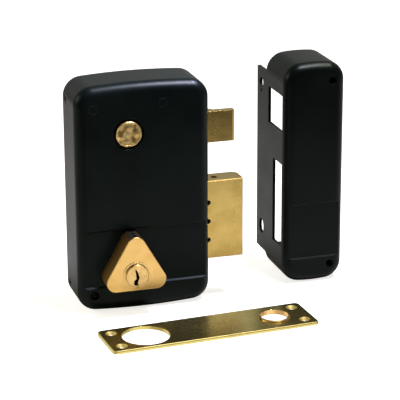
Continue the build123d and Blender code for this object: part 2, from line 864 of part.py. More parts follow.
def build_brake_spring():
    """The bowed leaf that rubs on the tail's top edge, with an eye round its post."""
    edge = foot + tail_high
    eye_z = edge + brake_post_up
    inner = brake_post_across / 2 + seat_gap
    eye = Pos(brake_post_x, eye_z) * Circle(inner + brake_eye_wall)
    half = brake_gauge / 2
    spots = [(brake_post_x + inner, eye_z), (brake_touch_x, edge + brake_gap + half),
             (brake_end_x, edge + brake_end_up)]
    under = [(x, z - half) for x, z in spots]
    over = [(x, z + half) for x, z in spots]
    leaf = make_face([ThreePointArc(*under), Line(under[2], over[2]), ThreePointArc(*reversed(over)),
                      Line(over[0], under[0])])
    view = eye + leaf - Pos(brake_post_x, eye_z) * Circle(inner)
    return slab(view, tail_rear, pinion_front)


def build_brake_post():
    """The riveted post that carries the brake spring."""
    shoulder = tail_rear - running_gap
    wide = brake_post_across / 2 + brake_eye_wall
    return turned([(0, 0), (post_rivet / 2, 0), (post_rivet / 2, plate_gauge), (wide, plate_gauge),
                   (wide, shoulder), (brake_post_across / 2, shoulder), (brake_post_across / 2, pinion_front),
                   (0, pinion_front)], brake_post_x, foot + tail_high + brake_post_up)


def upright(points, low, high):
    """A plan view of (x, depth) points given height."""
    view = make_face(Polyline([(x, -depth) for x, depth in points], close=True))
    return extrude(Plane.XY.offset(low) * view, amount=high - low)


def build_latch():
    """The brass latch: a slab with a ramp behind it, the block inside the case and the windowed tail."""
    low = foot + latch_low
    high = low + latch_height
    tip = half_width + latch_reach
    slab_rear = latch_front - latch_tip_thick
    ramp_top = half_width + latch_edge
    head = upright([(latch_block_left, latch_rear), (latch_block_left, latch_front), (tip - latch_tip_bevel,
                    latch_front), (tip, latch_front - latch_edge), (tip, slab_rear),
                    (ramp_top, slab_rear), (ramp_top, latch_rear)], low, high)
    ramp = upright([(ramp_top - latch_edge, slab_rear),
                    (ramp_top - latch_edge, latch_front - latch_heel_thick),
                    (ramp_top, latch_front - latch_heel_thick), (tip - latch_slab, slab_rear)],
                   low + ramp_step, high - ramp_step)
    block = bar(latch_block_left, latch_block_right, latch_tail_rear, latch_rear, low, high)
    tail_end = roller_x - latch_tail_end
    tail = bar(tail_end, latch_block_left, latch_tail_rear, latch_tail_rear + latch_tail_gauge, low, high)
    window_left = roller_x - roller_across / 2 - sliding_gap
    tail -= bar(window_left, latch_block_left, 0, case_depth,
                button_z - latch_window_high / 2, button_z + latch_window_high / 2)
    body = head + ramp + block + tail
    body += rod_across(spigot_across, tail_end - spigot_long, tail_end, roller_depth, latch_mid)
    return body - rod_up(roller_pin_across + 2 * seat_gap, roller_x, roller_depth,
                         low + latch_edge, high - latch_edge)


def build_latch_peg():
    """The hard peg across the tail's window that the button's wedge pushes on."""
    low = foot + latch_low + latch_edge
    high = low + latch_height - 2 * latch_edge
    room = latch_window_high / 2 - sliding_gap
    return (rod_up(roller_pin_across, roller_x, roller_depth, low, high)
            + rod_up(roller_across, roller_x, roller_depth, button_z - room, button_z + room))


def build_latch_spring():
    """The spring that pushes the latch out."""
    left = anchor_x + running_gap
    length = roller_x - latch_tail_end - running_gap - left
    mean = (latch_spring_across - latch_spring_wire) / 2
    spring = coil(mean, latch_spring_wire, length, latch_spring_turns)
    return Pos(left, -roller_depth, latch_mid) * Rot(0, 90, 0) * spring


def build_latch_guide():
    """The die-cast channel that keeps the latch's tail straight."""
    low = foot + latch_low - sliding_gap
    high = low + latch_height + 2 * sliding_gap
    block = bar(guide_left, guide_right, plate_gauge, guide_high, low - guide_cheek, high + guide_cheek)
    block -= bar(guide_left - overrun, guide_right + overrun, plate_gauge + guide_floor,
                 guide_high + overrun, low, high)
    for x, z in guide_screw_places:
        block -= disc(guide_screw_thread + 2 * seat_gap, plate_gauge - overrun,
                      plate_gauge + guide_floor - edge_break, x, z)
    return block


def build_guide_screws():
    """The two screws that hold the latch's guide to the back plate."""
    screws = Part()
    for x, z in guide_screw_places:
        screws += rear_screw(x, z, guide_screw_thread, 2 * guide_screw_thread - edge_break,
                             plate_gauge + guide_floor - 2 * edge_break)
    return screws


def wedge_contact():
    """Where the wedge meets the peg at rest: x and depth."""
    lean = sqrt(1 + wedge_ratio ** 2)
    return (roller_x + roller_across / 2 / lean, roller_depth + roller_across / 2 * wedge_ratio / lean)


def build_push_button():
    """The brass button with its dished face and the wedge blade that draws the latch back."""
    meet_x, meet_depth = wedge_contact()
    meet_x += running_gap * sqrt(1 + wedge_ratio ** 2)
    tip = meet_depth - blade_lead
    tip_x = meet_x + blade_lead * wedge_ratio
    top_x = meet_x - (blade_top - meet_depth) * wedge_ratio
    blade = upright([(tip_x, tip), (tip_x + blade_land, tip), (tip_x + blade_land, blade_top),
                     (top_x, blade_top)], button_z - blade_thick / 2, button_z + blade_thick / 2)
    radius = button_across / 2
    face = case_depth + button_stand
    body = turned([(0, blade_top), (radius, blade_top), (radius, face - button_chamfer),
                   (radius - button_chamfer, face), (radius - button_rim, face),
                   (radius - button_rim, face - button_dish), (0, face - button_dish)], plug_x, button_z)
    return body + blade


def build_button_bush():
    """The plain bush behind the cover that the button slides in."""
    inner = button_across / 2 + 2 * running_gap
    outer = inner + bush_wall
    low = blade_top + bush_clear
    return turned([(inner, low), (outer, low), (outer, cover_inside - bush_flange),
                   (outer + bush_flange_wide, cover_inside - bush_flange),
                   (outer + bush_flange_wide, cover_inside), (inner, cover_inside)], plug_x, button_z)


def in_keeper(shape):
    """Carry a piece from the keeper's own middle to where the keeper stands."""
    return Pos(keeper_x + keeper_width / 2, keeper_back, 0) * shape


def tab_heights():
    """The middle heights of the strike plate's two lugs."""
    return (foot + keeper_plate_low + tab_high / 2, -foot - keeper_plate_top - tab_high / 2)


def build_keeper_cover():
    """The keeper's moulding, open at the back and, between its rounded ends, at the strike side."""
    left = -keeper_width / 2
    shell = moulded_shell(keeper_width, case_height, keeper_depth, keeper_corner)
    shell -= panel_cut(left + panel_side, -left - panel_side, keeper_depth)
    inside = keeper_depth - cover_wall / 2
    for side in (-1, 1):
        shell += disc(keeper_pillar, 0, inside, -left - keeper_pillar_in,
                      side * (case_height / 2 - keeper_pillar_low))
    for height in tab_heights():
        shell += disc(tab_pillar, keeper_gauge, inside, left + keeper_gauge + tab_screw_in, height)
    low = foot + keeper_plate_low
    high = -foot - keeper_plate_top
    shell -= bar(left - overrun, left + cover_wall + seat_gap, -overrun,
                 keeper_depth - keeper_plate_front + sliding_gap, low - sliding_gap, high + sliding_gap)
    for height in tab_heights():
        shell -= bar(left, left + keeper_gauge + tab_reach + sliding_gap, -overrun, keeper_gauge,
                     height - tab_high / 2 - sliding_gap, height + tab_high / 2 + sliding_gap)
        shell -= disc(tab_thread + 2 * seat_gap, 0, tab_screw_length + overrun,
                      left + keeper_gauge + tab_screw_in, height)
    for side in (-1, 1):
        place = (-left - keeper_pillar_in, side * (case_height / 2 - keeper_pillar_low))
        shell -= disc(keeper_bore, -overrun, keeper_depth + overrun, *place)
        shell -= disc(keeper_head_bore, keeper_depth - keeper_head_depth, keeper_depth + overrun, *place)
    return in_keeper(shell)


def build_strike_plate():
    """The keeper's steel plate: two bolt windows and a flange past the back with its screw holes."""
    left = -keeper_width / 2
    front = keeper_depth - keeper_plate_front
    low = foot + keeper_plate_low
    high = -foot - keeper_plate_top
    plate = bar(left, left + keeper_gauge, -keeper_flange, front, low, high)
    rear_corners = plate.edges().filter_by(Axis.X).group_by(Axis.Y)[-1]
    plate = fillet(rear_corners, radius=keeper_flange_corner)
    reach = (left - overrun, left + keeper_gauge + overrun)
    plate -= bar(*reach, latch_window_back, front - keeper_window_front, foot + latch_low - latch_window_under,
                 foot + latch_low + latch_height + latch_window_over)
    plate -= bar(*reach, bolt_window_back, front - keeper_window_front, foot + bolt_low - bolt_window_under,
                 foot + bolt_low + bolt_height + bolt_window_over)
    hole_z = high - flange_hole_top
    plate -= rod_across(flange_hole, *reach, -flange_hole_back, hole_z)
    plate -= rod_across(flange_pilot, *reach, -flange_hole_back, hole_z - flange_pilot_below)
    slot_low = low + flange_hole_low
    for height in (slot_low, slot_low + flange_slot_long):
        plate -= rod_across(flange_slot, *reach, -flange_slot_back, height)
    plate -= bar(*reach, -flange_slot_back - flange_slot / 2, -flange_slot_back + flange_slot / 2,
                 slot_low, slot_low + flange_slot_long)
    return in_keeper(plate)


def build_strike_lugs():
    """The two lugs welded to the strike plate's inner face, with a countersunk screw hole in each."""
    left = -keeper_width / 2 + keeper_gauge
    sink = (tab_screw_head - tab_thread) / 2
    hole = tab_thread / 2 + seat_gap
    lugs = Part()
    for height in tab_heights():
        lug = bar(left, left + tab_reach, 0, keeper_gauge, height - tab_high / 2, height + tab_high / 2)
        lug -= turned([(0, -overrun), (tab_screw_head / 2 + seat_gap, -overrun),
                       (tab_screw_head / 2 + seat_gap, 0), (hole, sink), (hole, keeper_gauge + overrun),
                       (0, keeper_gauge + overrun)], left + tab_screw_in, height)
        lugs += lug
    return in_keeper(lugs)


def build_keeper_screws():
    """The two screws that hold the strike plate's lugs to the keeper's moulding."""
    screws = Part()
    for height in tab_heights():
        screws += rear_screw(-keeper_width / 2 + keeper_gauge + tab_screw_in, height, tab_thread,
                             tab_screw_head, tab_screw_length)
    return in_keeper(screws)


def on_floor(shape):
    """Lay a piece down from the plate's own front left corner to where the plate lies."""
    return Pos(outer_x, outer_y, foot) * Rot(0, 0, outer_yaw) * shape


def build_outer_plate():
    """The brass plate for the outside of the door, pressed over at its edge."""
    plate = Box(outer_long, outer_wide, outer_gauge, align=(Align.MIN, Align.MIN, Align.MIN))
    plate = fillet(plate.edges().filter_by(Axis.Z), radius=outer_corner)
    plate = fillet(plate.faces().sort_by(Axis.Z)[-1].edges(), radius=outer_edge)
    middle = outer_wide / 2
    for x, across in ((outer_bore_in, outer_bore), (outer_long - collar_from_end, collar_outside - collar_lip * 2)):
        plate -= Pos(x, middle, outer_gauge / 2) * Cylinder(across / 2, outer_gauge + 2 * overrun)
    sink = (outer_screw_head - outer_screw_bore) / 2
    for x in (outer_screw_in, outer_long - outer_screw_in):
        for y in (outer_screw_in, outer_wide - outer_screw_in):
            hole = Cylinder(outer_screw_bore / 2, outer_gauge + 2 * overrun)
            plate -= Pos(x, y, outer_gauge / 2) * hole
            plate -= Pos(x, y, outer_gauge - sink / 2) * Cone(outer_screw_bore / 2, outer_screw_head / 2, sink)
    return on_floor(plate)


def build_plate_collar():
    """The turned collar pressed into the plate's smaller hole."""
    inner = collar_bore / 2
    outer = collar_outside / 2
    seat = outer - collar_lip - seat_gap
    profile = make_face(Polyline([(inner, 0), (seat, 0), (seat, outer_gauge), (outer, outer_gauge),
                                  (outer, outer_gauge + collar_stand - edge_break),
                                  (outer - edge_break, outer_gauge + collar_stand),
                                  (inner, outer_gauge + collar_stand)], close=True))
    return on_floor(Pos(outer_long - collar_from_end, outer_wide / 2, 0) * revolve(Plane.XZ * profile, Axis.Z))


pieces = {
    "case_cover": build_cover,
    "back_plate": build_back_plate,
    "side_screws": build_side_screws,
    "front_screw": build_front_screw,
    "cylinder_body": build_cylinder_body,
    "cylinder_plug": build_plug,
    "plug_clip": build_plug_clip,
    "key_pins": build_key_pins,
    "driver_pins": build_driver_pins,
    "pin_springs": build_pin_springs,
    "chamber_plugs": build_chamber_plugs,
    "foot_screws": build_foot_screws,
    "key_gear": build_key_gear,
    "idler_gear": build_idler_gear,
    "idler_post": build_idler_post,
    "guide_stud": build_guide_stud,
    "deadbolt": build_deadbolt,
    "saw_pin": build_saw_pin,
    "bolt_rivets": build_bolt_rivets,
    "bolt_tail": build_bolt_tail,
    "brake_spring": build_brake_spring,
    "brake_post": build_brake_post,
    "latch": build_latch,
    "latch_peg": build_latch_peg,
    "latch_spring": build_latch_spring,
    "latch_guide": build_latch_guide,
    "guide_screws": build_guide_screws,
    "push_button": build_push_button,
    "button_bush": build_button_bush,
    "keeper_cover": build_keeper_cover,
    "strike_plate": build_strike_plate,
    "strike_lugs": build_strike_lugs,
    "keeper_screws": build_keeper_screws,
    "outer_plate": build_outer_plate,
    "plate_collar": build_plate_collar,
}

os.makedirs("parts", exist_ok=True)
for name, build in pieces.items():
    save(name, build())
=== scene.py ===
import bpy
from math import cos, radians, sin
from mathutils import Matrix, Vector


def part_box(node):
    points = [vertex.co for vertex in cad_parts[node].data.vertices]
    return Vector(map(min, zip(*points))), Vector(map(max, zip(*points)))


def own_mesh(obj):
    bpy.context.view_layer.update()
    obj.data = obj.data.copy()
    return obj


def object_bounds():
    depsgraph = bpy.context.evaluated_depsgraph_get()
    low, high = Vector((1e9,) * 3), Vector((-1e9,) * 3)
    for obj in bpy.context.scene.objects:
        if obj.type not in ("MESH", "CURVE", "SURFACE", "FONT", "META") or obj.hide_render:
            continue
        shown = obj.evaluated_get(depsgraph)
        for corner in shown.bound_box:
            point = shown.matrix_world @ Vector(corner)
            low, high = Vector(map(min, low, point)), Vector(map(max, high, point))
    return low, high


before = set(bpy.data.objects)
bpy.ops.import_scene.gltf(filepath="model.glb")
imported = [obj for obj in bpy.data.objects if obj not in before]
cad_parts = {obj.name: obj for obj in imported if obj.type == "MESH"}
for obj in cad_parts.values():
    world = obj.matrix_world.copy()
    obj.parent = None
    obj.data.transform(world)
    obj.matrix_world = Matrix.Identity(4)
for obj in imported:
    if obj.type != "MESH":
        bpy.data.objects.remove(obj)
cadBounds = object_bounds()
scene = bpy.context.scene
print("frame loaded:", len(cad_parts), "nodes")

mm = 0.001  # the scene is in metres, patterns are given in millimetres
studioWhite = "#fffefa"  # paper and room where the camera sees them


def linear(hexColour):  # sRGB hex to the linear colour that the shaders expect
    parts = [int(hexColour[i:i + 2], 16) / 255 for i in (1, 3, 5)]
    return [p / 12.92 if p <= 0.04045 else ((p + 0.055) / 1.055) ** 2.4 for p in parts] + [1.0]


def addNode(tree, kind, sockets=(), out=0, **settings):
    # One node with its settings and links; a socket, by name or in order, gets a number, a vector,
    # a hex colour or the output that feeds it, and the node's output out comes back
    node = tree.nodes.new(kind)
    for key, value in settings.items():
        setattr(node, key, value)
    for key, value in sockets.items() if isinstance(sockets, dict) else enumerate(sockets):
        if isinstance(value, bpy.types.NodeSocket):
            tree.links.new(value, node.inputs[key])
        else:
            node.inputs[key].default_value = linear(value) if isinstance(value, str) else value
    return node.outputs[out] if node.outputs else node


def newMaterial(name):
    material = bpy.data.materials.new(name)
    material.use_nodes = True
    tree = material.node_tree
    tree.nodes.clear()
    return material, tree


# Below, a name that ends in Range holds the two noise or slant values between which an effect
# runs from none to full, and rough holds the roughness at the two ends of such a range

# Black covers: ABS moulded in a spark-eroded tool, so a fine matt grain with a soft sheen
coverLook = {
    "colour": "#040806", "dusty": "#090f0b", "cloud": 34 * mm, "cloudRange": (0.35, 0.7),
    "grain": 0.7 * mm,          # the real grit is about 0.3 mm, drawn coarser so that it shows
    "grainDepth": 0.05 * mm, "grainShare": 0.5, "softEdge": 0.35 * mm,
    "rough": (0.3, 0.36), "roughRange": (0.5, 1.0),
    "marks": [(-30.5, 56.5), (11.8, 57.7), (-28.9, 15.6)],  # ejector pin rings, x and z in mm on the front
    "markRadius": 2.6 * mm, "markWidth": 0.4 * mm, "markDepth": 0.16 * mm,
    "ior": 1.53, "tint": "#e6f5e8",
    "gloss": 0.11,              # below the usual 0.5: the eroded surface scatters most of its reflection
}


def blackMouldedAbs(look):
    material, tree = newMaterial("black moulded ABS")
    place = addNode(tree, "ShaderNodeTexCoord", out="Object")
    cloud = addNode(tree, "ShaderNodeTexNoise", {"Vector": place, "Scale": 1 / look["cloud"], "Detail": 4})
    dust = addNode(tree, "ShaderNodeMapRange", [cloud, *look["cloudRange"], 0, 1])
    colour = addNode(tree, "ShaderNodeMix", {0: dust, 6: look["colour"], 7: look["dusty"]}, 2,
                     data_type="RGBA")
    grain = addNode(tree, "ShaderNodeTexNoise",
                    {"Vector": place, "Scale": 1 / look["grain"], "Detail": 2, "Roughness": 0.6})
    uneven = addNode(tree, "ShaderNodeMath", [grain, look["grainShare"], cloud], operation="MULTIPLY_ADD")
    rough = addNode(tree, "ShaderNodeMapRange", [uneven, *look["roughRange"], *look["rough"]])

    flat = addNode(tree, "ShaderNodeVectorMath", [place, (1, 0, 1)], operation="MULTIPLY")
    rings = 0.0
    for x, z in look["marks"]:     # one ring about each ejector pin's centre
        far = addNode(tree, "ShaderNodeVectorMath", [flat, (x * mm, 0, z * mm)], "Value",
                      operation="DISTANCE")
        off = addNode(tree, "ShaderNodeMath", [far, look["markRadius"]], operation="SUBTRACT")
        off = addNode(tree, "ShaderNodeMath", [off], operation="ABSOLUTE")
        ring = addNode(tree, "ShaderNodeMapRange", [off, 0, look["markWidth"], 1, 0])
        rings = addNode(tree, "ShaderNodeMath", [rings, ring], operation="MAXIMUM")

    soft = addNode(tree, "ShaderNodeBevel", {"Radius": look["softEdge"]}, samples=4)
    grained = addNode(tree, "ShaderNodeBump",
                      {"Height": grain, "Distance": look["grainDepth"], "Normal": soft})
    marked = addNode(tree, "ShaderNodeBump",
                     {"Height": rings, "Distance": look["markDepth"], "Normal": grained})
    shader = addNode(tree, "ShaderNodeBsdfPrincipled",
                     {"Base Color": colour, "Roughness": rough, "Normal": marked, "IOR": look["ior"],
                      "Specular IOR Level": look["gloss"], "Specular Tint": look["tint"]})
    addNode(tree, "ShaderNodeOutputMaterial", {"Surface": shader})
    return material


# Pressed steel of the back plate and strike plate: black stoving enamel, a dull sheen with a slight
# orange peel, rubbed through at the cut edges
enamelLook = {
    "colour": "#181a17", "pale": "#242622", "bare": "#8d8b84", "cloud": 22 * mm, "cloudRange": (0.3, 0.7),
    "peel": 1.6 * mm, "peelDepth": 0.02 * mm, "rough": (0.38, 0.48),
    "edge": 0.22 * mm, "edgeBend": 0.58333, "worn": 0.75, "wornPatch": 2.5 * mm, "wornRange": (0.45, 0.7),
    "ior": 1.5, "gloss": 0.14, "tint": "#e4f4e2",
}


def blackEnamelledSteel(look):
    material, tree = newMaterial("black enamelled steel")
    place = addNode(tree, "ShaderNodeTexCoord", out="Object")
    cloud = addNode(tree, "ShaderNodeTexNoise", {"Vector": place, "Scale": 1 / look["cloud"], "Detail": 4})
    peel = addNode(tree, "ShaderNodeTexNoise", {"Vector": place, "Scale": 1 / look["peel"], "Detail": 2})

    # Bare in patches along the edges, where the softened normal bends away from the real one
    soft = addNode(tree, "ShaderNodeBevel", {"Radius": look["edge"]}, samples=4)
    shape = addNode(tree, "ShaderNodeNewGeometry", out="Normal")
    bend = addNode(tree, "ShaderNodeVectorMath", [soft, shape], "Value", operation="DOT_PRODUCT")
    edge = addNode(tree, "ShaderNodeMapRange", [bend, look["edgeBend"], 1, 1, 0])
    patches = addNode(tree, "ShaderNodeTexNoise",
                      {"Vector": place, "Scale": 1 / look["wornPatch"], "Detail": 3})
    patches = addNode(tree, "ShaderNodeMapRange", [patches, *look["wornRange"], 0, look["worn"]])
    worn = addNode(tree, "ShaderNodeMath", [edge, patches], operation="MULTIPLY")

    faded = addNode(tree, "ShaderNodeMapRange", [cloud, *look["cloudRange"], 0, 1])
    colour = addNode(tree, "ShaderNodeMix", {0: faded, 6: look["colour"], 7: look["pale"]}, 2,
                     data_type="RGBA")
    colour = addNode(tree, "ShaderNodeMix", {0: worn, 6: colour, 7: look["bare"]}, 2, data_type="RGBA")
    rough = addNode(tree, "ShaderNodeMapRange", [cloud, *look["cloudRange"], *look["rough"]])
    normal = addNode(tree, "ShaderNodeBump", {"Height": peel, "Distance": look["peelDepth"], "Normal": soft})
    shader = addNode(tree, "ShaderNodeBsdfPrincipled",
                     {"Base Color": colour, "Roughness": rough, "Normal": normal, "Metallic": worn,
                      "IOR": look["ior"], "Specular IOR Level": look["gloss"], "Specular Tint": look["tint"]})
    addNode(tree, "ShaderNodeOutputMaterial", {"Surface": shader})
    return material


# Brass: one alloy, finished in five ways; what these share comes first
brassBase = {
    "turn": 0.0, "stretch": (1, 1, 1), "filmRange": (0.38, 0.72),
    "speckSize": 1.1 * mm, "speckRange": (0.66, 0.78), "lineShare": 0.6, "roughRange": (0.1, 1.3),
    "flankRange": (0.85, 0.99), "flankShadeRange": (0.5, 0.95), "topReflectionRange": (0.7, 0.92),
    "scuffRange": (0.85, 0.99), "edgeDarkening": 0.4, "stainAndReflectionRange": (0.44, 0.66),
}
brassLooks = {
    "satin cast brass": {      # the nose: cast, ground flat and lacquered, an even warm satin
        "colour": "#efc679", "dull": "#e6ba6b", "dark": "#8a672c", "cloud": 9 * mm,
        "line": 0.5 * mm, "stretch": (14, 1, 1), "lineDepth": 0.003 * mm, "rough": (0.2, 0.27),
        # the darker flank colour is painted shade, and the grey colour for upward faces is a painted
        # reflection of the dark cover
        "edge": 0.25 * mm, "speck": 0.2, "flanks": 0.4, "flankShade": "#b08a48", "topReflection": "#86806a"},
    "turned brass": {          # plug and collar: lathe marks run round, polished
        "colour": "#f3cf88", "dull": "#dfb56b", "dark": "#6a4c1c", "cloud": 3.2 * mm,
        "line": 0.3 * mm, "lineDepth": 0.006 * mm, "rough": (0.14, 0.24),
        "edge": 0.2 * mm, "speck": 0.3, "scuffed": 0.45},
    "thumbed brass": {         # the button: turned, then worn uneven by thumbs; lighter than the other brass as a painted reflection of the bright floor its dish mirrors, with brown patches that are partly lacquer wear and partly painted dark reflections
        "colour": "#ffe29a", "dull": "#f8cb74", "dark": "#6e4808", "cloud": 3 * mm,
        "line": 0.3 * mm, "lineDepth": 0.004 * mm, "rough": (0.36, 0.44), "edge": 0.2 * mm,
        "speck": 0.2, "stainAndReflectionSize": 4 * mm, "stainAndReflectionShare": 0.8, "wave": 5 * mm, "waveDepth": 0.6 * mm},
    "drawn brass": {           # both bolts and the pins: drawn bar, so long faint lines and a dull film
        "colour": "#cdb065", "dull": "#bfa258", "dark": "#7d6430", "cloud": 12 * mm,
        "line": 1.1 * mm, "stretch": (1, 1, 30), "lineDepth": 0.004 * mm, "rough": (0.22, 0.3),
        "edge": 0.12 * mm, "speck": 0.2, "scuffed": 0.6},
    "polished sheet brass": {  # the outside plate: rolled sheet, buffed along its length and lacquered
        "colour": "#ecdb84", "dull": "#dcc673", "dark": "#6b5a2a", "cloud": 16 * mm,
        "turn": 3.4,           # degrees that the plate lies turned by
        "line": 0.7 * mm, "stretch": (60, 1, 1), "lineDepth": 0.003 * mm, "rough": (0.24, 0.3),
        "edge": 0.12 * mm, "speck": 0.08, "scuffed": 0.6},
}


def brass(name, lathe=None):
    look = brassBase | brassLooks[name] | (lathe or {})
    material, tree = newMaterial(name + " " + lathe["for"] if lathe else name)
    place = addNode(tree, "ShaderNodeTexCoord", out="Object")
    turned = addNode(tree, "ShaderNodeMapping", {"Vector": place, "Rotation": (0, 0, radians(-look["turn"]))})
    if lathe:                      # marks run round, by their distance from the turning axis
        flat = addNode(tree, "ShaderNodeVectorMath", [place, lathe["across"]], operation="MULTIPLY")
        middle = [c * a for c, a in zip(lathe["centre"], lathe["across"])]
        far = addNode(tree, "ShaderNodeVectorMath", [flat, middle], "Value", operation="DISTANCE")
        lines = addNode(tree, "ShaderNodeTexNoise", {"W": far, "Scale": 1 / look["line"], "Detail": 2},
                        noise_dimensions="1D")
    else:                          # marks run straight, as long as the stretch makes them
        scale = [1 / (look["line"] * stretch) for stretch in look["stretch"]]
        drawn = addNode(tree, "ShaderNodeMapping", {"Vector": turned, "Scale": scale})
        lines = addNode(tree, "ShaderNodeTexNoise", {"Vector": drawn, "Scale": 1, "Detail": 2})

    cloud = addNode(tree, "ShaderNodeTexNoise",
                    {"Vector": turned, "Scale": 1 / look["cloud"], "Detail": 5, "Roughness": 0.6})
    film = addNode(tree, "ShaderNodeMapRange", [cloud, *look["filmRange"], 0, 1])
    specks = addNode(tree, "ShaderNodeTexNoise",
                     {"Vector": turned, "Scale": 1 / look["speckSize"], "Detail": 2})
    specks = addNode(tree, "ShaderNodeMapRange", [specks, *look["speckRange"], 0, look["speck"]])
    specks = addNode(tree, "ShaderNodeMath", [specks, film], operation="MULTIPLY")
    colour = addNode(tree, "ShaderNodeMix", {0: film, 6: look["colour"], 7: look["dull"]}, 2,
                     data_type="RGBA")
    colour = addNode(tree, "ShaderNodeMix", {0: specks, 6: colour, 7: look["dark"]}, 2, data_type="RGBA")
    uneven = addNode(tree, "ShaderNodeMath", [lines, look["lineShare"], film], operation="MULTIPLY_ADD")
    rough = addNode(tree, "ShaderNodeMapRange", [uneven, *look["roughRange"], *look["rough"]])

    shape = addNode(tree, "ShaderNodeNewGeometry", out="Normal")
    unsigned = addNode(tree, "ShaderNodeVectorMath", [shape], operation="ABSOLUTE")
    facingX, facingY, facingZ = addNode(tree, "ShaderNodeSeparateXYZ", [unsigned]).node.outputs
    if "flanks" in look:           # the front is ground, the flanks are left rough as cast; the flanks also get a painted shade and the upward faces a painted grey reflection of the dark cover
        flank = addNode(tree, "ShaderNodeMapRange", [facingY, *look["flankRange"], look["flanks"], 0])
        rough = addNode(tree, "ShaderNodeMath", [rough, flank], operation="MAXIMUM")
        front = addNode(tree, "ShaderNodeMapRange", [facingY, *look["flankShadeRange"], 0, 1])
        colour = addNode(tree, "ShaderNodeMix", {0: front, 6: look["flankShade"], 7: colour}, 2, data_type="RGBA")
        # painted reflection: upward faces turn grey where they would mirror the dark cover
        upward = addNode(tree, "ShaderNodeSeparateXYZ", [shape], "Z")
        top = addNode(tree, "ShaderNodeMapRange", [upward, *look["topReflectionRange"], 0, 1])
        colour = addNode(tree, "ShaderNodeMix", {0: top, 6: colour, 7: look["topReflection"]}, 2, data_type="RGBA")
    if "scuffed" in look:          # only rounded and bevelled edges face between the axes; these get more roughness and a darker colour
        square = addNode(tree, "ShaderNodeMath", [facingX, facingY], operation="MAXIMUM")
        square = addNode(tree, "ShaderNodeMath", [square, facingZ], operation="MAXIMUM")
        scuff = addNode(tree, "ShaderNodeMapRange", [square, *look["scuffRange"], look["scuffed"], 0])
        rough = addNode(tree, "ShaderNodeMath", [rough, scuff], operation="MAXIMUM")
        darkerEdge = addNode(tree, "ShaderNodeMapRange", [square, *look["scuffRange"], look["edgeDarkening"], 0])
        colour = addNode(tree, "ShaderNodeMix", {0: darkerEdge, 6: colour, 7: look["dark"]}, 2, data_type="RGBA")

    soft = addNode(tree, "ShaderNodeBevel", {"Radius": look["edge"]}, samples=4)
    normal = addNode(tree, "ShaderNodeBump", {"Height": lines, "Distance": look["lineDepth"], "Normal": soft})
    if "stainAndReflectionSize" in look:            # brown patches, partly where the lacquer has gone and partly painted dark reflections, on an uneven face
        stainsAndReflections = addNode(tree, "ShaderNodeTexNoise",
                         {"Vector": place, "Scale": 1 / look["stainAndReflectionSize"], "Detail": 1})
        stainsAndReflections = addNode(tree, "ShaderNodeMapRange", [stainsAndReflections, *look["stainAndReflectionRange"], 0, look["stainAndReflectionShare"]])
        colour = addNode(tree, "ShaderNodeMix", {0: stainsAndReflections, 6: colour, 7: look["dark"]}, 2, data_type="RGBA")
        waves = addNode(tree, "ShaderNodeTexNoise",
                        {"Vector": place, "Scale": 1 / look["wave"], "Detail": 1})
        normal = addNode(tree, "ShaderNodeBump",
                         {"Height": waves, "Distance": look["waveDepth"], "Normal": normal})
    shader = addNode(tree, "ShaderNodeBsdfPrincipled",
                     {"Base Color": colour, "Roughness": rough, "Normal": normal, "Metallic": 1})
    addNode(tree, "ShaderNodeOutputMaterial", {"Surface": shader})
    return material


# Zinc-plated works with a satin sheen, blackened screws, blued springs and one dull zinc casting
steelBase = {"stretch": (1, 1, 1), "cloudRange": (0.35, 0.7), "roughRange": (0.2, 1.6), "edge": 0.12 * mm}
steelLooks = {
    "zinc-plated steel": {"colour": "#b6b5ae", "dull": "#8f8e86", "cloud": 7 * mm, "line": 0.4 * mm,
                          "stretch": (10, 1, 1), "lineDepth": 0.005 * mm, "rough": (0.26, 0.42)},
    "blackened steel": {"colour": "#151513", "dull": "#282622", "cloud": 1.5 * mm, "line": 0.3 * mm,
                        "lineDepth": 0.004 * mm, "rough": (0.36, 0.5)},
    "blued spring steel": {"colour": "#5d5f63", "dull": "#43423f", "cloud": 2 * mm, "line": 0.25 * mm,
                           "lineDepth": 0.003 * mm, "rough": (0.24, 0.36)},
    "die-cast zinc": {"colour": "#a3a3a4", "dull": "#84858a", "cloud": 5 * mm, "line": 0.8 * mm,
                      "lineDepth": 0.02 * mm, "rough": (0.4, 0.55)},
}


def steel(name):
    look = steelBase | steelLooks[name]
    material, tree = newMaterial(name)
    place = addNode(tree, "ShaderNodeTexCoord", out="Object")
    cloud = addNode(tree, "ShaderNodeTexNoise", {"Vector": place, "Scale": 1 / look["cloud"], "Detail": 4})
    cloud = addNode(tree, "ShaderNodeMapRange", [cloud, *look["cloudRange"], 0, 1])
    scale = [1 / (look["line"] * stretch) for stretch in look["stretch"]]
    drawn = addNode(tree, "ShaderNodeMapping", {"Vector": place, "Scale": scale})
    lines = addNode(tree, "ShaderNodeTexNoise", {"Vector": drawn, "Scale": 1, "Detail": 2})
    colour = addNode(tree, "ShaderNodeMix", {0: cloud, 6: look["colour"], 7: look["dull"]}, 2,
                     data_type="RGBA")
    uneven = addNode(tree, "ShaderNodeMath", [cloud, lines], operation="ADD")
    rough = addNode(tree, "ShaderNodeMapRange", [uneven, *look["roughRange"], *look["rough"]])
    soft = addNode(tree, "ShaderNodeBevel", {"Radius": look["edge"]}, samples=4)
    normal = addNode(tree, "ShaderNodeBump", {"Height": lines, "Distance": look["lineDepth"], "Normal": soft})
    shader = addNode(tree, "ShaderNodeBsdfPrincipled",
                     {"Base Color": colour, "Roughness": rough, "Normal": normal, "Metallic": 1})
    addNode(tree, "ShaderNodeOutputMaterial", {"Surface": shader})
    return material


def centreOf(node):
    low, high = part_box(node)
    return (low + high) / 2


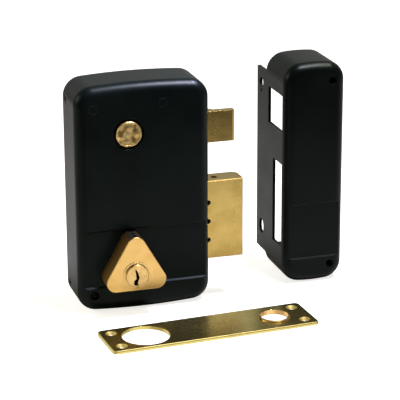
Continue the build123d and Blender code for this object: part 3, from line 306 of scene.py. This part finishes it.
mouldedAbs = blackMouldedAbs(coverLook)
enamel = blackEnamelledSteel(enamelLook)
zincPlate = steel("zinc-plated steel")
blackened = steel("blackened steel")
springSteel = steel("blued spring steel")
dieCast = steel("die-cast zinc")
castBrass = brass("satin cast brass")
drawnBrass = brass("drawn brass")
sheetBrass = brass("polished sheet brass")
plugBrass = brass("turned brass", {"for": "plug", "centre": centreOf("plug_clip"), "across": (1, 0, 1),
                                   "rough": (0.22, 0.3)})
buttonBrass = brass("thumbed brass", {"for": "button", "centre": centreOf("button_bush"),
                                      "across": (1, 0, 1)})
collarBrass = brass("turned brass", {"for": "collar", "centre": centreOf("plate_collar"),
                                     "across": (1, 1, 0)})
print("materials made:", len(bpy.data.materials))

# Each node's finish; a node that isn't named here is zinc-plated
nodeFinish = {
    "case_cover": mouldedAbs, "keeper_cover": mouldedAbs, "button_bush": mouldedAbs,
    "back_plate": enamel, "strike_plate": enamel, "strike_lugs": enamel,
    "side_screws": blackened, "front_screw": blackened,
    "bolt_rivets": blackened, "chamber_plugs": blackened,
    "cylinder_body": castBrass, "cylinder_plug": plugBrass,
    "push_button": buttonBrass, "plate_collar": collarBrass, "outer_plate": sheetBrass,
    "deadbolt": drawnBrass, "latch": drawnBrass, "key_pins": drawnBrass,
    "plug_clip": springSteel, "pin_springs": springSteel, "latch_spring": springSteel,
    "brake_spring": springSteel, "latch_guide": dieCast,
}
for name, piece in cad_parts.items():
    piece.data.materials.clear()
    piece.data.materials.append(nodeFinish.get(name, zincPlate))
print("finishes given to", len(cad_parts), "nodes")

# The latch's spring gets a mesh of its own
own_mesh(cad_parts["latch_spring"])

# Floor: white paper that ends in front of the part, so that upright faces reflect the dark room beyond it
floorLook = {"low": (-1.6, -0.285), "high": (1.6, 2.2), "colour": "#f4f2e6", "lift": 0.8}


def paperFloor(look):
    height = cadBounds[0][2]
    (left, near), (right, far) = look["low"], look["high"]
    corners = [(left, near, height), (right, near, height), (right, far, height), (left, far, height)]
    mesh = bpy.data.meshes.new("paper floor")
    mesh.from_pydata(corners, [], [(0, 1, 2, 3)])
    floor = bpy.data.objects.new("paper_floor", mesh)
    scene.collection.objects.link(floor)
    material, tree = newMaterial("white studio paper")
    matt = addNode(tree, "ShaderNodeBsdfDiffuse", {"Color": look["colour"]})
    seen = addNode(tree, "ShaderNodeLightPath", out="Is Camera Ray")
    strength = addNode(tree, "ShaderNodeMath", [seen, look["lift"]], operation="MULTIPLY")
    lift = addNode(tree, "ShaderNodeEmission", {"Color": studioWhite, "Strength": strength})
    both = addNode(tree, "ShaderNodeAddShader", [matt, lift])
    addNode(tree, "ShaderNodeOutputMaterial", {"Surface": both})
    mesh.materials.append(material)


paperFloor(floorLook)

# Room: a white sweep behind and to the left, a dark room in front, white wherever the camera looks past it.
# A fade gives the two values of a direction's X, Y or Z between which the room changes
roomLook = {
    "front": 0.035, "behind": 0.47, "behindFade": (-0.15, 0.65),
    "left": 0.12, "leftFade": (-0.2, -0.9), "leftInFront": 0.1, "leftInFrontFade": (-0.3, 0.15),
    "above": 0.5, "aboveFade": (0.25, 0.8),
}


def studioRoom(look):
    world = bpy.data.worlds.new("studio room")
    scene.world = world
    world.use_nodes = True
    tree = world.node_tree
    tree.nodes.clear()
    way = addNode(tree, "ShaderNodeTexCoord", out="Generated")
    wayX, wayY, wayZ = addNode(tree, "ShaderNodeSeparateXYZ", [way]).node.outputs
    level = addNode(tree, "ShaderNodeMapRange", [wayY, *look["behindFade"], look["front"], look["behind"]])
    left = addNode(tree, "ShaderNodeMapRange", [wayX, *look["leftFade"], 0, look["left"]])
    share = addNode(tree, "ShaderNodeMapRange", [wayY, *look["leftInFrontFade"], look["leftInFront"], 1])
    level = addNode(tree, "ShaderNodeMath", [left, share, level], operation="MULTIPLY_ADD")
    above = addNode(tree, "ShaderNodeMapRange", [wayZ, *look["aboveFade"], 1, look["above"]])
    level = addNode(tree, "ShaderNodeMath", [level, above], operation="MULTIPLY")
    seen = addNode(tree, "ShaderNodeLightPath", out="Is Camera Ray")
    strength = addNode(tree, "ShaderNodeMath", [level, seen], operation="MAXIMUM")
    back = addNode(tree, "ShaderNodeBackground", {"Color": studioWhite, "Strength": strength})
    addNode(tree, "ShaderNodeOutputWorld", {"Surface": back})


studioRoom(roomLook)

# Lamps: an overhead soft box with cool daylight, a weaker one at the left, and two strips.
# Each strip draws the long highlight on one cover's rolled edge and lights only that cover
lampLooks = {
    "overhead soft box": {"at": (0.24, -0.16, 0.72), "turn": (10, 8, 0), "size": (0.2, 0.26), "power": 8.8,
                          "colour": "#ecebff"},
    "left soft box": {"at": (-0.9, 0.1, 0.4), "turn": (0, -66, 0), "size": (0.4, 0.6), "power": 3.4,
                      "colour": "#fff6e8"},
    "strip above the case": {"at": (0.4, -0.14, 0.72), "turn": (6, 0, 0), "size": (0.1, 0.45), "power": 33.0,
                             "colour": "#d2ceff", "only": "case_cover"},
    "strip above the keeper": {"at": (0.44, -0.1, 0.72), "turn": (4, 0, 0), "size": (0.12, 0.5), "power": 5.0,
                               "colour": "#f6ecd8", "only": "keeper_cover"},
}
for name, look in lampLooks.items():
    lamp = bpy.data.lights.new(name, "AREA")
    lamp.shape = "RECTANGLE"
    lamp.size, lamp.size_y = look["size"]
    lamp.energy = look["power"]
    lamp.color = linear(look["colour"])[:3]
    holder = bpy.data.objects.new(name, lamp)
    holder.location = look["at"]
    holder.rotation_euler = [radians(angle) for angle in look["turn"]]
    scene.collection.objects.link(holder)
    if "only" in look:
        lit = bpy.data.collections.new(name)
        lit.objects.link(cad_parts[look["only"]])
        holder.light_linking.receiver_collection = lit

# Camera: fitted to the photograph, so its numbers are not round. Angles are in degrees, focal length
# and frame in pixels, the sensor in millimetres
cameraLook = {"at": (-0.281406, -1.055071, 0.350977), "heading": 17.1378, "down": 18.3766, "roll": -0.2388,
              "focal": 1883.44, "frame": 400, "sensor": 36.0}


def photoCamera(look):
    heading, down, roll = (radians(look[key]) for key in ("heading", "down", "roll"))
    forward = Vector((sin(heading) * cos(down), cos(heading) * cos(down), -sin(down)))
    level = Vector((cos(heading), -sin(heading), 0))
    upright = level.cross(forward)
    right = level * cos(roll) + upright * sin(roll)
    up = upright * cos(roll) - level * sin(roll)
    data = bpy.data.cameras.new("photo camera")
    data.sensor_width = look["sensor"]
    data.lens = look["sensor"] * look["focal"] / look["frame"]
    camera = bpy.data.objects.new("photo_camera", data)
    turn = Matrix((right, up, -forward)).transposed().to_4x4()
    camera.matrix_world = Matrix.Translation(look["at"]) @ turn
    scene.collection.objects.link(camera)
    scene.camera = camera


photoCamera(cameraLook)
scene.view_settings.view_transform = "Standard"
print("floor, room, lamps and camera set")
